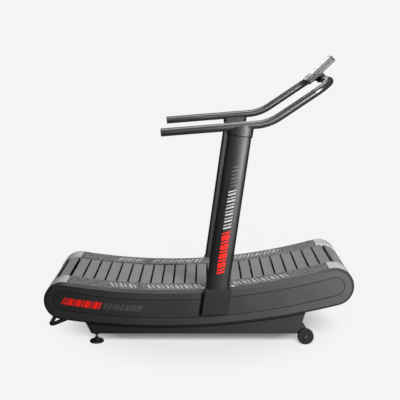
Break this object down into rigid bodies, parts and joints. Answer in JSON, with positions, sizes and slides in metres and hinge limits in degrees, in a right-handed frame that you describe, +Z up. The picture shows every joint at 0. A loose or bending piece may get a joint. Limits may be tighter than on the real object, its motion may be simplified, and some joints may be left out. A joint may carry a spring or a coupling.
{
  "type": "curved manual treadmill",
  "caption": "Curved manual treadmill: concave slat-belt deck between foot rails, leaning uprights, a U handlebar and a small tilted console.",
  "frame": {"origin": "on the floor, under the middle of the machine's length and width", "axes": "+X to the front (console end), +Y to the runner's left, +Z up"},
  "size_m": [1.781, 0.836, 1.6446],
  "materials": {
    "casing": "fine-grained moulded plastic, satin",
    "side_panel": "fine-grained moulded plastic, satin",
    "foot_rail": "satin",
    "grip_strip": "coarse anti-slip grit",
    "rail_cap": "fine-grained moulded plastic",
    "slat": "fine ribbed grain",
    "belt": "matt",
    "frame_paint": "powder coat",
    "upright_paint": "gloss powder coat",
    "bar_paint": "semi-gloss powder coat",
    "plug": "moulded",
    "steel": "zinc plated",
    "black_oxide": "black oxide",
    "roller": "hard moulded tyre",
    "wheel": "hard moulded tyre",
    "foot": "moulded",
    "console_shell": "moulded, satin",
    "window": "gloss",
    "button": "moulded silicone"
  },
  "bodies": {
    "root": {"base_frame_left": "frame_paint", "base_frame_right": "frame_paint", "cross_member_rear": "frame_paint", "cross_member_front": "frame_paint", "side_plate_left": "frame_paint", "side_plate_right": "frame_paint", "wheel_brackets": "frame_paint", "upright_bracket_left": "frame_paint", "upright_bracket_right": "frame_paint", "axle_blocks": "frame_paint", "side_casing_left": "casing", "side_casing_right": "casing", "side_panel_left": "side_panel", "side_panel_right": "side_panel", "foot_rail_left": "foot_rail", "foot_rail_right": "foot_rail", "grip_strip_left": "grip_strip", "grip_strip_right": "grip_strip", "rail_cap_front_left": "rail_cap", "rail_cap_front_right": "rail_cap", "rail_cap_rear_left": "rail_cap", "rail_cap_rear_right": "rail_cap", "tread_slats": "slat", "slat_bolts": "steel", "drum_axles": "steel", "roller_bolts": "steel", "bracket_bolts": "steel", "carrier_belt_left": "belt", "carrier_belt_right": "belt", "foot_locknuts": "black_oxide", "wheel_bolts": "black_oxide", "lift_handle": "bar_paint", "handlebar": "bar_paint", "upright_left": "upright_paint", "upright_right": "upright_paint", "upright_collar_left": "upright_paint", "upright_collar_right": "upright_paint", "handlebar_plugs": "plug", "console_bracket": "plug", "console_back": "console_shell", "console_front": "console_shell", "console_window": "window"},
    "front_drum": {"front_drum": "black_oxide", "front_drum_bearings": "steel"},
    "rear_drum": {"rear_drum": "black_oxide", "rear_drum_bearings": "steel"},
    "rollers_1": {"support_rollers_1": "roller"},
    "rollers_2": {"support_rollers_2": "roller"},
    "rollers_3": {"support_rollers_3": "roller"},
    "rollers_4": {"support_rollers_4": "roller"},
    "rollers_5": {"support_rollers_5": "roller"},
    "foot_left": {"foot_pad_left": "foot"},
    "stud_left": {"foot_stud_left": "black_oxide"},
    "wheel_left": {"wheel_left": "wheel"},
    "foot_right": {"foot_pad_right": "foot"},
    "stud_right": {"foot_stud_right": "black_oxide"},
    "wheel_right": {"wheel_right": "wheel"},
    "button_left": {"button_left": "button"},
    "button_middle": {"button_middle": "button"},
    "button_right": {"button_right": "button"}
  },
  "joints": [
    {"name": "front_drum_spin", "type": "hinge", "parent": "root", "child": "front_drum", "pos_m": [0.777, 0, 0.34664], "axis": [0, 1, 0], "continuous": true},
    {"name": "rear_drum_spin", "type": "hinge", "parent": "root", "child": "rear_drum", "pos_m": [-0.777, 0, 0.26337], "axis": [0, 1, 0], "continuous": true},
    {"name": "rollers_1_spin", "type": "hinge", "parent": "root", "child": "rollers_1", "pos_m": [-0.63644, 0, 0.30783], "axis": [0, 1, 0], "continuous": true},
    {"name": "rollers_2_spin", "type": "hinge", "parent": "root", "child": "rollers_2", "pos_m": [-0.3172, 0, 0.28116], "axis": [0, 1, 0], "continuous": true},
    {"name": "rollers_3_spin", "type": "hinge", "parent": "root", "child": "rollers_3", "pos_m": [0.00313, 0, 0.28382], "axis": [0, 1, 0], "continuous": true},
    {"name": "rollers_4_spin", "type": "hinge", "parent": "root", "child": "rollers_4", "pos_m": [0.32188, 0, 0.31577], "axis": [0, 1, 0], "continuous": true},
    {"name": "rollers_5_spin", "type": "hinge", "parent": "root", "child": "rollers_5", "pos_m": [0.63636, 0, 0.37676], "axis": [0, 1, 0], "continuous": true},
    {"name": "wheel_left_spin", "type": "hinge", "parent": "root", "child": "wheel_left", "pos_m": [0.618, 0.36, 0.047], "axis": [0, 1, 0], "continuous": true},
    {"name": "wheel_right_spin", "type": "hinge", "parent": "root", "child": "wheel_right", "pos_m": [0.618, -0.36, 0.047], "axis": [0, 1, 0], "continuous": true},
    {"name": "foot_left_height", "type": "slide", "parent": "root", "child": "foot_left", "axis": [0, 0, 1], "range_m": [-0.02, 0]},
    {"name": "stud_left_turn", "type": "hinge", "parent": "foot_left", "child": "stud_left", "pos_m": [-0.596, 0.318, 0.05], "axis": [0, 0, 1], "range_deg": [-4115, 0]},
    {"name": "foot_right_height", "type": "slide", "parent": "root", "child": "foot_right", "axis": [0, 0, 1], "range_m": [-0.02, 0]},
    {"name": "stud_right_turn", "type": "hinge", "parent": "foot_right", "child": "stud_right", "pos_m": [-0.596, -0.318, 0.05], "axis": [0, 0, 1], "range_deg": [-4115, 0]},
    {"name": "button_left_press", "type": "slide", "parent": "root", "child": "button_left", "axis": [0.6947, 0, -0.7193], "range_m": [0, 0.0012], "stiffness_N_per_m": 400, "springref_m": -0.0003},
    {"name": "button_middle_press", "type": "slide", "parent": "root", "child": "button_middle", "axis": [0.6947, 0, -0.7193], "range_m": [0, 0.0012], "stiffness_N_per_m": 400, "springref_m": -0.0003},
    {"name": "button_right_press", "type": "slide", "parent": "root", "child": "button_right", "axis": [0.6947, 0, -0.7193], "range_m": [0, 0.0012], "stiffness_N_per_m": 400, "springref_m": -0.0003}
  ],
  "couplings": [
    {"joint": "rear_drum_spin", "follows": "front_drum_spin", "ratio": 1},
    {"joint": "rollers_1_spin", "follows": "front_drum_spin", "ratio": 4.235},
    {"joint": "rollers_2_spin", "follows": "front_drum_spin", "ratio": 4.235},
    {"joint": "rollers_3_spin", "follows": "front_drum_spin", "ratio": 4.235},
    {"joint": "rollers_4_spin", "follows": "front_drum_spin", "ratio": 4.235},
    {"joint": "rollers_5_spin", "follows": "front_drum_spin", "ratio": 4.235},
    {"joint": "stud_left_turn", "follows": "foot_left_height", "rad_per_m": 3590.4},
    {"joint": "stud_right_turn", "follows": "foot_right_height", "rad_per_m": 3590.4}
  ]
}
